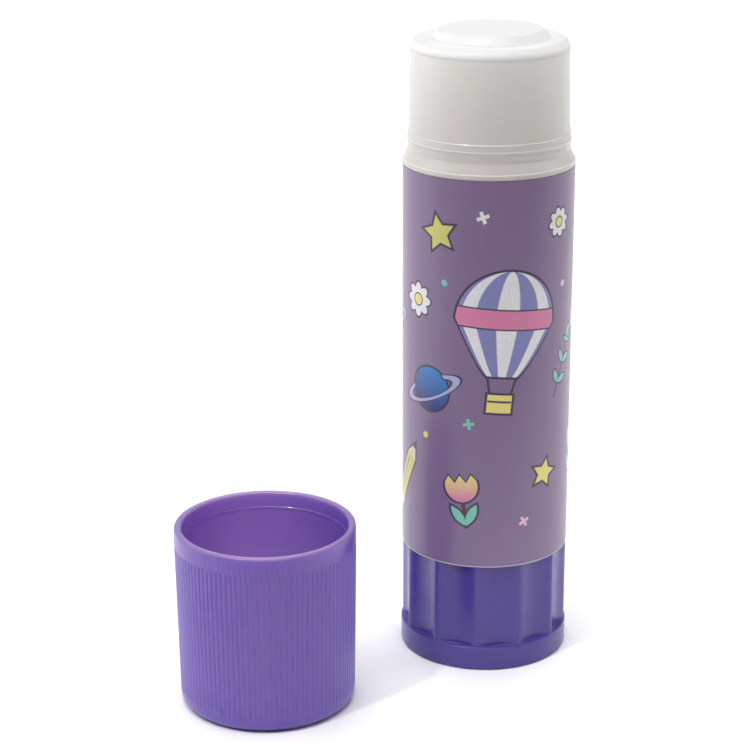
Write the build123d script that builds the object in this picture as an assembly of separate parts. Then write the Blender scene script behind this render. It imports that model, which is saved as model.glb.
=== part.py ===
from build123d import *
import math
import os

# A glue stick stands on its twist base, with its cap standing mouth up beside it.
# The origin is on the stick's axis at the foot, +Z is up, and lengths are in millimetres.

# Shared play between pieces
turn_play = 0.12  # twist base in the barrel
slide_play = 0.15  # carrier and glue in the barrel
plug_play = 0.08  # inner lid in the barrel's mouth
seat_gap = 0.05  # flat faces that rest on each other
socket_play = 0.03  # lead screw's key in its socket
thread_play = 0.15  # lead screw in the carrier's nut
glue_play = 0.30  # glue below the inner lid and round the screw
anchor_play = 0.04  # glue cast round the carrier's top
overrun = 1.0  # how far a cutting shape runs past what it cuts

# Twist base: a foot flange, a fluted grip, and a collar that turns inside the barrel
foot_height = 3.40
foot_lip = 0.12  # how far the flange stands out past the barrel
foot_edge_radius = 0.42
foot_top_radius = 0.14
grip_height = 11.79
grip_inset = 0.04  # how far the ridges stand back from the barrel's side
flute_count = 12
flute_depth = 0.76
ridge_width = 0.70
ridge_angle = -97.3  # degrees, where one ridge points
base_floor = 1.60
collar_height = 4.21
collar_wall = 1.10
snap_lift = 0.14  # how far the snap bead stands out past the bore
snap_height = 0.90
snap_rise = 1.75  # from the barrel's lower rim to the groove's lower edge
hub_radius = 4.60
hub_height = 9.00
socket_depth = 8.00
base_gap = 0.20  # between the grip's top and the barrel's lower rim

# Barrel: a tube with a shallow panel for the label, a shoulder and a neck
barrel_radius = 11.50
barrel_wall = 1.90
lower_band = 0.12  # bare plastic below the label's panel
upper_band = 0.24  # bare plastic above it
panel_depth = 0.12
panel_play = 0.06  # between the label's edges and the panel's
neck_height = 15.03  # from the upper band to the mouth
shoulder_radius = 0.45
flare_height = 1.75
flare_radius = 2.60
flare_step = 0.66  # how far the neck's foot stands back from the barrel's side
ring_rise = 3.63  # from the upper band to the middle of the sealing ring
ring_height = 1.10
ring_lift = 0.11
ring_edge_radius = 0.22
waist_rise = 5.70  # from the upper band to where the neck's taper eases
waist_step = 0.84
waist_radius = 8.00
mouth_step = 1.04
mouth_edge_radius = 0.06
lower_edge_radius = 0.06
lug_count = 2
lug_rise = 1.95
lug_height = 0.55
lug_lift = 0.13
lug_edge_radius = 0.12
lug_arc = 44.0  # degrees that each lug runs round the neck
lug_angle = -56.0  # degrees, the middle of the first lug
key_rib_count = 4
key_rib_width = 0.80
key_rib_height = 0.45
key_rib_angle = 45.0  # degrees

# Label: a printed film wrapped once round the barrel, its end lapped at the back
label_height = 53.60
film_gap = 0.02
film_thickness = 0.10
lap_width = 2.50
lap_angle = 96.0  # degrees, where the lap starts

# Inner lid: a plug with a flange that closes the mouth, and a raised round boss
lid_flange_height = 1.25
lid_corner_radius = 1.05
lid_wall = 0.90
plug_depth = 2.80
plug_edge_radius = 0.20
boss_height = 1.20
boss_foot_radius = 7.80
boss_top_radius = 6.90
boss_edge_radius = 0.50
boss_fillet_radius = 0.60

# Carrier: the piston that holds the glue and runs on the screw
carrier_gap = 0.60  # above the twist base's collar at rest
carrier_skirt = 5.60
carrier_wall = 1.30
carrier_web_rise = 2.80
carrier_web = 1.20
wiper_chamfer = 0.50
nut_radius = 4.80
nut_height = 6.40
anchor_radius = 7.20
anchor_wall = 0.80
anchor_height = 2.60

# Lead screw: two starts, left handed, so that a turn about +Z lifts the carrier
thread_lead = 4.00
thread_crest_radius = 3.00
thread_root_radius = 2.25
key_sides = 6
key_flats = 4.00  # across the key that sits in the twist base
screw_flange_radius = 3.60
screw_flange_height = 1.00
glue_crown = 3.45  # glue above the screw's tip
tip_height = 0.60

# Cap: stands by itself with its mouth up
cap_x = -29.81
cap_y = -18.37
cap_height = 24.90
cap_play = 0.15  # mouth of the cap round the foot of the neck
cap_wall = 1.04  # at the mouth
cap_end_wall = 0.81  # at the closed end
cap_taper = 0.35
cap_lip_taper = 0.05
cap_corner_radius = 1.50
cap_lip_radius = 0.34
cap_floor = 1.30
cap_inner_radius = 0.90
cap_bead_depth = 2.15
cap_bead_height = 0.90
cap_bead_radius = 0.15
cap_bead_play = 0.04  # bead of the cap over the foot of the neck
cap_bore_play = 0.14  # cap above its bead over the foot of the neck
cap_band = 2.30  # smooth band below the lip
cap_rib_start = 2.00
cap_rib_count = 106
cap_groove_depth = 0.10
cap_groove_width = 0.34
cap_groove_floor = 0.20

# Places that follow from the sizes above
grip_radius = barrel_radius - grip_inset
foot_radius = barrel_radius + foot_lip
flute_floor_radius = grip_radius - flute_depth
grip_top = foot_height + grip_height
collar_top = grip_top + collar_height
barrel_bottom = grip_top + base_gap
bore_radius = barrel_radius - barrel_wall
panel_radius = barrel_radius - panel_depth
panel_bottom = barrel_bottom + lower_band
label_bottom = panel_bottom + panel_play
panel_top = label_bottom + label_height + panel_play
band_top = panel_top + upper_band
mouth_z = band_top + neck_height
neck_foot_radius = barrel_radius - flare_step
mouth_radius = barrel_radius - mouth_step
collar_radius = bore_radius - turn_play
snap_radius = bore_radius + snap_lift
snap_bottom = barrel_bottom + snap_rise + turn_play
lid_seat = mouth_z + seat_gap
lid_top = lid_seat + lid_flange_height
boss_top = lid_top + boss_height
plug_radius = bore_radius - plug_play
plug_bottom = lid_seat - plug_depth
carrier_bottom = collar_top + carrier_gap
carrier_radius = bore_radius - slide_play
web_bottom = carrier_bottom + carrier_web_rise
web_top = web_bottom + carrier_web
nut_top = carrier_bottom + nut_height
glue_radius = bore_radius - slide_play
glue_top = plug_bottom - glue_play
screw_top = glue_top - glue_crown
socket_floor = base_floor + hub_height - socket_depth
thread_start = base_floor + hub_height + screw_flange_height
travel = screw_top - tip_height - nut_top


def rounded_face(corners):
    """Fill the closed outline through corners of (radius, height, rounding), rounded by tangent arcs."""
    count = len(corners)
    edges, leaving, arriving = [], [], []
    for i, (radius, height, rounding) in enumerate(corners):
        corner = Vector(radius, height)
        back = (Vector(*corners[i - 1][:2]) - corner).normalized()
        ahead = (Vector(*corners[(i + 1) % count][:2]) - corner).normalized()
        half_angle = math.radians(back.get_angle(ahead)) / 2
        setback = rounding / math.tan(half_angle)
        start, end = corner + back * setback, corner + ahead * setback
        if rounding:
            inward = (back + ahead).normalized()
            middle = corner + inward * (rounding / math.sin(half_angle) - rounding)
            edges.append(Edge.make_three_point_arc(start, middle, end))
        arriving.append(start)
        leaving.append(end)
    for i in range(count):
        edges.append(Edge.make_line(leaving[i], arriving[(i + 1) % count]))
    return Face(Wire(edges))


def turned(corners, arc=360):
    """Turn a closed outline of (radius, height, rounding) about the stick's axis."""
    return revolve(Plane.XZ * rounded_face(corners), Axis.Z, arc)


def twisted(play, bottom, top):
    """Make the screw's twisted section, grown by a play, between two heights."""
    crest, root = thread_crest_radius + play, thread_root_radius + play
    halves = [Edge.make_ellipse(crest, root, start_angle=side, end_angle=side + 180) for side in (0, 180)]
    section = Face(Wire(halves))
    turns = (top - bottom) / thread_lead
    column = Solid.extrude_linear_with_rotation(section, (0, 0, 0), (0, 0, top - bottom), -360 * turns)
    start_angle = -360 * (bottom - thread_start) / thread_lead
    return Pos(0, 0, bottom) * Rot(0, 0, start_angle) * column


def key_ribs(play, bottom, top):
    """Make the barrel's inner key ribs, grown by a play, as bars that reach into its wall."""
    depth = key_rib_height + play
    from_wall = (Align.MAX, Align.CENTER, Align.MIN)
    bar = Box(depth + overrun, key_rib_width + 2 * play, top - bottom, align=from_wall)
    placed = Pos(bore_radius + overrun, 0, bottom) * bar
    return [Rot(0, 0, key_rib_angle + 360 * i / key_rib_count) * placed for i in range(key_rib_count)]


def twist_base():
    """Foot, fluted grip and collar in one moulding, with a hub and socket for the screw."""
    well_radius = collar_radius - collar_wall
    hub_top = base_floor + hub_height
    snap_top = snap_bottom + snap_height
    snap_slope = snap_radius - collar_radius
    body = turned([
        (0, 0, 0),
        (foot_radius, 0, foot_edge_radius),
        (foot_radius, foot_height, foot_top_radius),
        (grip_radius, foot_height, 0),
        (grip_radius, grip_top, 0),
        (collar_radius, grip_top, 0),
        (collar_radius, snap_bottom, 0),
        (snap_radius, snap_bottom + snap_slope, 0),
        (snap_radius, snap_top - snap_slope, 0),
        (collar_radius, snap_top, 0),
        (collar_radius, collar_top, 0),
        (well_radius, collar_top, 0),
        (well_radius, base_floor, 0),
        (hub_radius, base_floor, 0),
        (hub_radius, hub_top, 0),
        (0, hub_top, 0),
    ])
    # Each flute is an arc through the edges of two ridges and the flute's floor.
    half_pitch = math.pi / flute_count
    half_ridge = ridge_width / 2 / grip_radius
    edge_x = grip_radius * math.cos(half_pitch - half_ridge)
    edge_y = grip_radius * math.sin(half_pitch - half_ridge)
    rise = edge_x - flute_floor_radius
    cutter_radius = (edge_y**2 + rise**2) / (2 * rise)
    flute = Cylinder(cutter_radius, grip_height + overrun, align=(Align.CENTER, Align.CENTER, Align.MIN))
    flute = Pos(flute_floor_radius + cutter_radius, 0, foot_height) * flute
    cutters = [
        Rot(0, 0, ridge_angle + 360 * (i + 1 / 2) / flute_count) * flute for i in range(flute_count)
    ]
    socket = RegularPolygon(key_flats / 2 + socket_play, key_sides, major_radius=False)
    return body - cutters - Pos(0, 0, socket_floor) * extrude(socket, socket_depth + overrun)


def barrel():
    """Tube with a label panel, shoulder, tapered neck, snap groove and inner key ribs."""
    ring_z = band_top + ring_rise
    ring_bottom, ring_top = ring_z - ring_height / 2, ring_z + ring_height / 2
    groove_bottom = snap_bottom - turn_play
    groove_top = snap_bottom + snap_height + turn_play
    groove_radius = snap_radius + turn_play
    waist = barrel_radius - waist_step
    tube = turned([
        (bore_radius, barrel_bottom, lower_edge_radius),
        (barrel_radius, barrel_bottom, lower_edge_radius),
        (barrel_radius, panel_bottom, 0),
        (panel_radius, panel_bottom, 0),
        (panel_radius, panel_top, 0),
        (barrel_radius, panel_top, 0),
        (barrel_radius, band_top + shoulder_radius / 2, shoulder_radius),
        (neck_foot_radius, band_top + flare_height, flare_radius),
        (neck_foot_radius, ring_bottom, 0),
        (neck_foot_radius + ring_lift, ring_z, ring_edge_radius),
        ((neck_foot_radius + waist) / 2, ring_top, 0),
        (waist, band_top + waist_rise, waist_radius),
        (mouth_radius, mouth_z, mouth_edge_radius),
        (bore_radius, mouth_z, mouth_edge_radius),
        (bore_radius, groove_top, 0),
        (groove_radius, groove_top - groove_radius + bore_radius, 0),
        (groove_radius, groove_bottom + groove_radius - bore_radius, 0),
        (bore_radius, groove_bottom, 0),
    ])
    lug_z = band_top + lug_rise
    lug = turned([
        (bore_radius + barrel_wall / 2, lug_z, 0),
        (neck_foot_radius + lug_lift, lug_z, lug_edge_radius),
        (neck_foot_radius + lug_lift, lug_z + lug_height, lug_edge_radius),
        (bore_radius + barrel_wall / 2, lug_z + lug_height, 0),
    ], lug_arc)
    lugs = [Rot(0, 0, lug_angle - lug_arc / 2 + 360 * i / lug_count) * lug for i in range(lug_count)]
    rib_bottom = collar_top + carrier_gap / 2
    ribs = key_ribs(0, rib_bottom, plug_bottom - glue_play)
    return tube + lugs + ribs


def label():
    """Film round the panel, with the end lapped over its start."""
    inner = panel_radius + film_gap
    outer = inner + film_thickness
    sleeve = turned([
        (inner, label_bottom, 0),
        (outer, label_bottom, 0),
        (outer, label_bottom + label_height, 0),
        (inner, label_bottom + label_height, 0),
    ])
    lap = turned([
        (outer, label_bottom, 0),
        (outer + film_thickness, label_bottom, 0),
        (outer + film_thickness, label_bottom + label_height, 0),
        (outer, label_bottom + label_height, 0),
    ], math.degrees(lap_width / outer))
    return sleeve + Rot(0, 0, lap_angle) * lap


def inner_lid():
    """Thin lid: a plug in the bore, a flange on the rim and a hollow raised boss."""
    inside = plug_radius - lid_wall
    return turned([
        (0, boss_top, 0),
        (boss_top_radius, boss_top, boss_edge_radius),
        (boss_foot_radius, lid_top, boss_fillet_radius),
        (mouth_radius, lid_top, lid_corner_radius),
        (mouth_radius, lid_seat, 0),
        (plug_radius, lid_seat, 0),
        (plug_radius, plug_bottom, plug_edge_radius),
        (inside, plug_bottom, plug_edge_radius),
        (inside, lid_top - lid_wall, 0),
        (boss_foot_radius - lid_wall, lid_top - lid_wall, 0),
        (boss_top_radius - lid_wall, boss_top - lid_wall, 0),
        (0, boss_top - lid_wall, 0),
    ])


def carrier():
    """Piston with a wiping skirt, a web, an anchor ring for the glue and a threaded nut."""
    inside = carrier_radius - carrier_wall
    skirt_top = carrier_bottom + carrier_skirt
    piston = turned([
        (0, carrier_bottom, 0),
        (nut_radius, carrier_bottom, 0),
        (nut_radius, web_bottom, 0),
        (inside, web_bottom, 0),
        (inside, carrier_bottom, 0),
        (carrier_radius - wiper_chamfer / 2, carrier_bottom, 0),
        (carrier_radius, carrier_bottom + wiper_chamfer, 0),
        (carrier_radius, skirt_top, 0),
        (inside + wiper_chamfer, skirt_top, 0),
        (inside, skirt_top - wiper_chamfer, 0),
        (inside, web_top, 0),
        (anchor_radius, web_top, 0),
        (anchor_radius, web_top + anchor_height, 0),
        (anchor_radius - anchor_wall, web_top + anchor_height, 0),
        (anchor_radius - anchor_wall, web_top, 0),
        (nut_radius, web_top, 0),
        (nut_radius, nut_top, 0),
        (0, nut_top, 0),
    ])
    nut = twisted(thread_play, carrier_bottom - overrun, nut_top + overrun)
    return piston - key_ribs(slide_play, carrier_bottom - overrun, skirt_top + overrun) - nut


def glue():
    """Glue cast on the carrier, stepped inside the lid, with a hole for the screw."""
    inside = carrier_radius - carrier_wall - anchor_play
    skirt_top = carrier_bottom + carrier_skirt + anchor_play
    floor = web_top + anchor_play
    ring_outer = anchor_radius + anchor_play
    ring_inner = anchor_radius - anchor_wall - anchor_play
    ring_top = web_top + anchor_height + anchor_play
    hole_radius = thread_crest_radius + glue_play
    plug_inside = plug_radius - lid_wall - glue_play
    lid_step = lid_top - lid_wall - glue_play
    column = turned([
        (hole_radius, nut_top + anchor_play, 0),
        (nut_radius + anchor_play, nut_top + anchor_play, 0),
        (nut_radius + anchor_play, floor, 0),
        (ring_inner, floor, 0),
        (ring_inner, ring_top, 0),
        (ring_outer, ring_top, 0),
        (ring_outer, floor, 0),
        (inside, floor, 0),
        (inside, skirt_top - wiper_chamfer, 0),
        (inside + wiper_chamfer, skirt_top, 0),
        (glue_radius, skirt_top, 0),
        (glue_radius, glue_top, 0),
        (plug_inside, glue_top, 0),
        (plug_inside, lid_step, 0),
        (boss_foot_radius - lid_wall - glue_play, lid_step, 0),
        (boss_top_radius - lid_wall - glue_play, boss_top - lid_wall - glue_play, 0),
        (0, boss_top - lid_wall - glue_play, 0),
        (0, screw_top + glue_play, 0),
        (hole_radius, screw_top + glue_play, 0),
    ])
    return column - key_ribs(slide_play, carrier_bottom, plug_bottom)


def lead_screw():
    """Screw with a hexagonal key below, a flange on the hub and a long two-start thread."""
    hub_top = base_floor + hub_height
    key = extrude(RegularPolygon(key_flats / 2, key_sides, major_radius=False), hub_top - socket_floor)
    flange = Cylinder(screw_flange_radius, screw_flange_height, align=(Align.CENTER, Align.CENTER, Align.MIN))
    thread = twisted(0, thread_start, screw_top)
    return Pos(0, 0, socket_floor) * key + Pos(0, 0, hub_top) * flange + thread


def cap():
    """Cup with a rounded closed end, fine grip ribs, a smooth lip and a snap bead inside."""
    mouth = neck_foot_radius + cap_play
    outer = mouth + cap_wall
    end = outer - cap_taper
    lip = outer - cap_lip_taper
    bead = neck_foot_radius + cap_bead_play
    bore = neck_foot_radius + cap_bore_play
    bead_z = cap_height - cap_bead_depth
    rib_top = cap_height - cap_band
    cup = turned([
        (0, 0, 0),
        (end, 0, cap_corner_radius),
        (outer, rib_top, 0),
        (lip, cap_height, cap_lip_radius),
        (mouth, cap_height, cap_lip_radius),
        (mouth, bead_z + cap_bead_height / 2, 0),
        (bead, bead_z, cap_bead_radius),
        (bore, bead_z - cap_bead_height / 2, 0),
        (end - cap_end_wall, cap_floor, cap_inner_radius),
        (0, cap_floor, 0),
    ])
    # Each groove follows the tapered side, from the corner to the smooth band.
    slope = math.atan2(cap_taper, rib_top)
    length = (rib_top - cap_rib_start) / math.cos(slope)
    groove = extrude(
        Polygon(
            (-cap_groove_depth, -cap_groove_floor / 2),
            (cap_groove_depth, cap_groove_floor / 2 - cap_groove_width),
            (cap_groove_depth, cap_groove_width - cap_groove_floor / 2),
            (-cap_groove_depth, cap_groove_floor / 2),
            align=None,
        ),
        length,
    )
    start_radius = end + math.tan(slope) * cap_rib_start
    groove = Pos(start_radius, 0, cap_rib_start) * Rot(0, math.degrees(slope), 0) * groove
    grooves = [Rot(0, 0, 360 * i / cap_rib_count) * groove for i in range(cap_rib_count)]
    return Pos(cap_x, cap_y, 0) * (cup - grooves)


pieces = {
    "twist_base": twist_base,
    "lead_screw": lead_screw,
    "carrier": carrier,
    "glue": glue,
    "barrel": barrel,
    "label": label,
    "inner_lid": inner_lid,
    "cap": cap,
}

os.makedirs("parts", exist_ok=True)
for name, make in pieces.items():
    export_step(make(), f"parts/{name}.step")
print("carrier travel", round(travel, 3), "turns", round(travel / thread_lead, 4))
print("height without the cap", round(boss_top, 3))
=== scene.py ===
# %% [markdown]
# A twist-up glue stick is a tube of solid glue that works like a lipstick. This lesson dresses its CAD
# model so that it looks like the real thing: thin moulded plastic, a wrapped printed film and soft
# studio light. The CAD model is loaded first and stays fixed, and each piece is then modelled over it.

# %% Load the CAD model
import math
import bmesh
import bpy
from mathutils import Matrix, Vector


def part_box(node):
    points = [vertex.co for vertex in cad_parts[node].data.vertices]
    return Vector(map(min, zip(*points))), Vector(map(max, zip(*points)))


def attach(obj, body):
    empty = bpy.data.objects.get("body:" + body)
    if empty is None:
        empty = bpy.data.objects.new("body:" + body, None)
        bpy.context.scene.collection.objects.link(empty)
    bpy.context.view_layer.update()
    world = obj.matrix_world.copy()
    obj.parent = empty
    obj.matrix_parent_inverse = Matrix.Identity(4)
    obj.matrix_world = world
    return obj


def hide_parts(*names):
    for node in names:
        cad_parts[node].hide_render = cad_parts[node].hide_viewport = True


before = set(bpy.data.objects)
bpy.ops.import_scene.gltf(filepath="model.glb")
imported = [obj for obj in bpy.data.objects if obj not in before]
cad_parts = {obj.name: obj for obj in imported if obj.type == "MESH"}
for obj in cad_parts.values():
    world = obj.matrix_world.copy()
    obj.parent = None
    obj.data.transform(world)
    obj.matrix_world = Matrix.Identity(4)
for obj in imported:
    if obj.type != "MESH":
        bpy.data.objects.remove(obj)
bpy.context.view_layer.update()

# %% [markdown]
# Sizes that the CAD model already has are read from it, so the looks follow the model. Outlines are
# written in millimetres, as on a drawing, and MM turns them into metres.

# %% Read the main sizes
MM = 0.001
base_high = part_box("twist_base")[1] / MM
barrel_low, barrel_high = (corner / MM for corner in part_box("barrel"))
label_low, label_high = (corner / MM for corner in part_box("label"))
lid_low, lid_high = (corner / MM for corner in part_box("inner_lid"))
glue_low, glue_high = (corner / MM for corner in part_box("glue"))
cap_low, cap_high = (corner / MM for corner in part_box("cap"))
barrel_radius = barrel_high.x
cap_radius = (cap_high.x - cap_low.x) / 2
cap_x, cap_y = (cap_low.x + cap_high.x) / 2, (cap_low.y + cap_high.y) / 2
print("barrel", round(barrel_radius * 2, 2), "mm across, cap", round(cap_radius * 2, 2))

# %% [markdown]
# Every moulded piece here is round, and a maker would turn it from half a cross-section. The same is
# done by hand in Blender: one vertex is extruded from corner to corner, the corners are rounded with a
# vertex bevel, and the outline is spun about the axis. A spin of many steps is slow, so only a
# sixteenth of the turn is spun, and it is doubled four times. The helpers below are those steps.

# %% Select by place and apply modifiers
SAME_PLACE = 0.002 * MM
MERGE = 0.001 * MM
DOUBLINGS = 4


def only(piece):
    """Select one object alone and make it the active one."""
    bpy.ops.object.select_all(action="DESELECT")
    piece.select_set(True)
    bpy.context.view_layer.objects.active = piece


def select_near(piece, places):
    """In edit mode, select the vertices that lie at any of these places."""
    mesh = bmesh.from_edit_mesh(piece.data)
    for vertex in mesh.verts:
        vertex.select = min((vertex.co - place).length for place in places) < SAME_PLACE
    mesh.select_flush_mode()
    bmesh.update_edit_mesh(piece.data)


def apply_modifier(piece, kind, **settings):
    """Add a modifier, set it up and apply it."""
    only(piece)
    modifier = piece.modifiers.new(kind.lower(), kind)
    for name, value in settings.items():
        setattr(modifier, name, value)
    bpy.ops.object.modifier_apply(modifier=modifier.name)


# %% Draw an outline and spin it
def draw_outline(name, corners, axis_x=0.0, axis_y=0.0):
    """Extrude a vertex through corners of (radius, height, rounding), and round those that have one."""
    bpy.ops.object.select_all(action="DESELECT")
    bpy.ops.mesh.primitive_plane_add(size=MM)
    piece = bpy.context.object
    piece.name = piece.data.name = name
    bpy.ops.object.mode_set(mode="EDIT")
    bpy.ops.mesh.select_all(action="SELECT")
    bpy.ops.mesh.merge(type="CENTER")
    places = [Vector((axis_x + radius, axis_y, height)) * MM for radius, height, rounding in corners]
    bpy.ops.transform.translate(value=places[0])
    for here, there in zip(places, places[1:]):
        bpy.ops.mesh.extrude_vertices_move(TRANSFORM_OT_translate={"value": there - here})
    if corners[0][0] > 0:
        select_near(piece, (places[0], places[-1]))
        bpy.ops.mesh.edge_face_add()
    for i, (radius, height, rounding) in enumerate(corners):
        if rounding:
            back = places[i - 1] - places[i]
            ahead = places[(i + 1) % len(places)] - places[i]
            setback = rounding * MM / math.tan(back.angle(ahead) / 2)
            select_near(piece, (places[i],))
            bpy.ops.mesh.bevel(offset=setback, offset_type="OFFSET", segments=6, affect="VERTICES")
    return piece


def turn_piece(name, corners, steps, axis_x=0.0, axis_y=0.0):
    """Draw an outline, spin it once round its axis, and close the seam and the poles."""
    piece = draw_outline(name, corners, axis_x, axis_y)
    centre = (axis_x * MM, axis_y * MM, 0)
    sector = 2 * math.pi / 2**DOUBLINGS
    bpy.ops.mesh.select_all(action="SELECT")
    bpy.ops.mesh.spin(steps=steps // 2**DOUBLINGS, angle=sector, center=centre, axis=(0, 0, 1))
    for i in range(DOUBLINGS):
        bpy.ops.mesh.select_all(action="SELECT")
        bpy.ops.mesh.duplicate()
        bpy.ops.transform.rotate(value=sector * 2**i, orient_axis="Z", center_override=centre)
    bpy.ops.mesh.select_all(action="SELECT")
    bpy.ops.mesh.remove_doubles(threshold=MERGE)
    bpy.ops.mesh.normals_make_consistent(inside=False)
    bpy.ops.object.mode_set(mode="OBJECT")
    print(name, "has", len(piece.data.polygons), "faces")
    return piece


def carve(piece, carved_radius, axis_x=0.0, axis_y=0.0):
    """Move vertices in or out: carved_radius(radius, angle, height) gives each its new radius in mm."""
    for vertex in piece.data.vertices:
        x, y = vertex.co.x / MM - axis_x, vertex.co.y / MM - axis_y
        radius = math.hypot(x, y)
        if radius > 0.1:
            share = carved_radius(radius, math.atan2(y, x), vertex.co.z / MM) / radius
            vertex.co.x, vertex.co.y = (axis_x + x * share) * MM, (axis_y + y * share) * MM
    piece.data.update()


# %% Hand a finished piece to the frame
SMOOTH_ANGLE = math.radians(38)


def finish_piece(piece, body, node):
    """Smooth the piece, and let it stand for its CAD node on the node's own body."""
    only(piece)
    bpy.ops.object.shade_smooth_by_angle(angle=SMOOTH_ANGLE)
    apply_modifier(piece, "WEIGHTED_NORMAL", keep_sharp=True)
    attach(piece, body)
    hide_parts(node)


def dress(piece, material):
    """Give a piece its only material."""
    piece.data.materials.clear()
    piece.data.materials.append(material)


# %% [markdown]
# The cap is a thin cup with a rounded closed end. Its side widens a little towards the mouth so that
# it slides out of its mould, and a small bead inside the mouth snaps under the ring on the neck. The
# side has fine upright grip ribs between the corner and a smooth band.

# %% Turn the cap
RIB_COUNT = 106
STEPS_A_RIB = 8
RIB_BOTTOM, RIB_TOP = 2.0, cap_high.z - 2.3
CAP_END, CAP_LIP = cap_radius - 0.35, cap_radius - 0.05
CAP_MOUTH, CAP_BORE, CAP_BEAD = cap_radius - 1.04, cap_radius - 1.05, cap_radius - 1.15
CAP_CORNER, LIP_ROUNDING = 1.5, 0.34
CAP_END_WALL, CAP_FLOOR, FLOOR_ROUNDING = 0.81, 1.3, 0.9
BEAD_HEIGHT = cap_high.z - 2.15
BEAD_RISE, BEAD_DROP, BEAD_ROUNDING = 0.119, 0.45, 0.06


def cap_side(height):
    """Radius of the cap's tapered side at a height."""
    return CAP_END + (cap_radius - CAP_END) * height / RIB_TOP


cap = turn_piece("cap_shell", [
    (0, 0, 0),
    (CAP_END, 0, CAP_CORNER),
    (cap_side(RIB_BOTTOM), RIB_BOTTOM, 0),
    (cap_side(RIB_BOTTOM + 0.4), RIB_BOTTOM + 0.4, 0),
    (cap_side(RIB_TOP - 0.25), RIB_TOP - 0.25, 0),
    (cap_side(RIB_TOP - 0.1), RIB_TOP - 0.1, 0),
    (cap_radius, RIB_TOP, 0),
    (CAP_LIP, cap_high.z, LIP_ROUNDING),
    (CAP_MOUTH, cap_high.z, LIP_ROUNDING),
    (CAP_MOUTH, BEAD_HEIGHT + BEAD_RISE, BEAD_ROUNDING),
    (CAP_BEAD, BEAD_HEIGHT, BEAD_ROUNDING),
    (CAP_BORE, BEAD_HEIGHT - BEAD_DROP, 0.2),
    (CAP_END - CAP_END_WALL, CAP_FLOOR, FLOOR_ROUNDING),
    (0, CAP_FLOOR, 0),
], RIB_COUNT * STEPS_A_RIB, cap_x, cap_y)

# %% [markdown]
# The grip ribs are what a spark-eroded mould leaves: narrow grooves with sloping sides. The cap was
# spun with 8 steps a rib, so the steps that fall in a groove are simply moved inwards, and the rings
# at both ends of the side let each groove fade out.

# %% Carve the grip ribs
GROOVE_DEPTH = 0.14
GROOVE_SHAPE = (1.0, 0.8, 0.1, 0.0, 0.0, 0.0, 0.1, 0.8)


def ribbed(radius, angle, height):
    """Lower the cap's side in the grooves."""
    on_side = radius > CAP_END - 0.1 and RIB_BOTTOM + 0.1 < height < RIB_TOP - 0.05
    if not on_side:
        return radius
    step = round(angle / (2 * math.pi) * RIB_COUNT * STEPS_A_RIB) % STEPS_A_RIB
    fade = 0.55 if height > RIB_TOP - 0.2 else 1.0
    return radius - GROOVE_DEPTH * GROOVE_SHAPE[step] * fade


carve(cap, ribbed, cap_x, cap_y)
finish_piece(cap, "cap", "cap")
print("rib pitch in mm:", round(2 * math.pi * cap_radius / RIB_COUNT, 3))

# %% [markdown]
# The twist base is what the fingers turn: a foot flange, a grip with twelve broad flutes, and a collar
# that snaps into the barrel and turns there. Inside stands a hub with a hexagonal socket for the screw.

# %% Turn the twist base
FLUTE_COUNT = 12
STEPS_A_FLUTE = 60
FLUTE_DEPTH = 0.76
RIDGE_WIDTH = 0.70
RIDGE_ANGLE = math.radians(-97.3)
FOOT_HEIGHT, FOOT_ROUNDING, FLANGE_ROUNDING = 3.4, 0.42, 0.14
GRIP_TOP = barrel_low.z - 0.06
GRIP_RADIUS = barrel_radius - 0.04
FLOOR_RADIUS = GRIP_RADIUS - FLUTE_DEPTH
COLLAR_RADIUS = barrel_radius - 2.02
COLLAR_WALL, EDGE_ROUNDING = 1.1, 0.2
HUB_RADIUS, HUB_TOP = 4.6, 10.6
SOCKET_RADIUS, SOCKET_FLOOR, SOCKET_APOTHEM = 2.2, 2.6, 2.03
BASE_FLOOR, CORNER_FILLET = 1.6, 0.3
SNAP_LOW, SNAP_HIGH = GRIP_TOP + 2.07, GRIP_TOP + 2.97
SNAP_LIFT, SNAP_ROUNDING = 0.26, 0.08
grip_rings = [(GRIP_RADIUS, FOOT_HEIGHT + rise, 0) for rise in (0.03, 0.06, 0.1, 0.14, 0.2)]

base = turn_piece("base_shell", [
    (0, 0, 0),
    (base_high.x, 0, FOOT_ROUNDING),
    (base_high.x, FOOT_HEIGHT, FLANGE_ROUNDING),
    (GRIP_RADIUS, FOOT_HEIGHT, 0),
    *grip_rings,
    (GRIP_RADIUS, GRIP_TOP - 0.1, 0),
    (GRIP_RADIUS - 0.05, GRIP_TOP, 0),
    (COLLAR_RADIUS, GRIP_TOP, 0),
    (COLLAR_RADIUS, SNAP_LOW, 0),
    (COLLAR_RADIUS + SNAP_LIFT, SNAP_LOW + SNAP_LIFT, SNAP_ROUNDING),
    (COLLAR_RADIUS + SNAP_LIFT, SNAP_HIGH - SNAP_LIFT, SNAP_ROUNDING),
    (COLLAR_RADIUS, SNAP_HIGH, 0),
    (COLLAR_RADIUS, base_high.z, EDGE_ROUNDING),
    (COLLAR_RADIUS - COLLAR_WALL, base_high.z, EDGE_ROUNDING),
    (COLLAR_RADIUS - COLLAR_WALL, BASE_FLOOR, CORNER_FILLET),
    (HUB_RADIUS, BASE_FLOOR, CORNER_FILLET),
    (HUB_RADIUS, HUB_TOP, EDGE_ROUNDING),
    (SOCKET_RADIUS, HUB_TOP, 0),
    (SOCKET_RADIUS, SOCKET_FLOOR, 0),
    (0, SOCKET_FLOOR, 0),
], FLUTE_COUNT * STEPS_A_FLUTE)

# %% [markdown]
# Each flute is a shallow arc of a circle, so two flutes meet in a narrow ridge. The ridge's edges and
# the corner where a flute runs into the flange are rounded, as in any mould, and those roundings catch
# the light. A smooth minimum joins the arc and the ridge without a hard edge.

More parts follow.
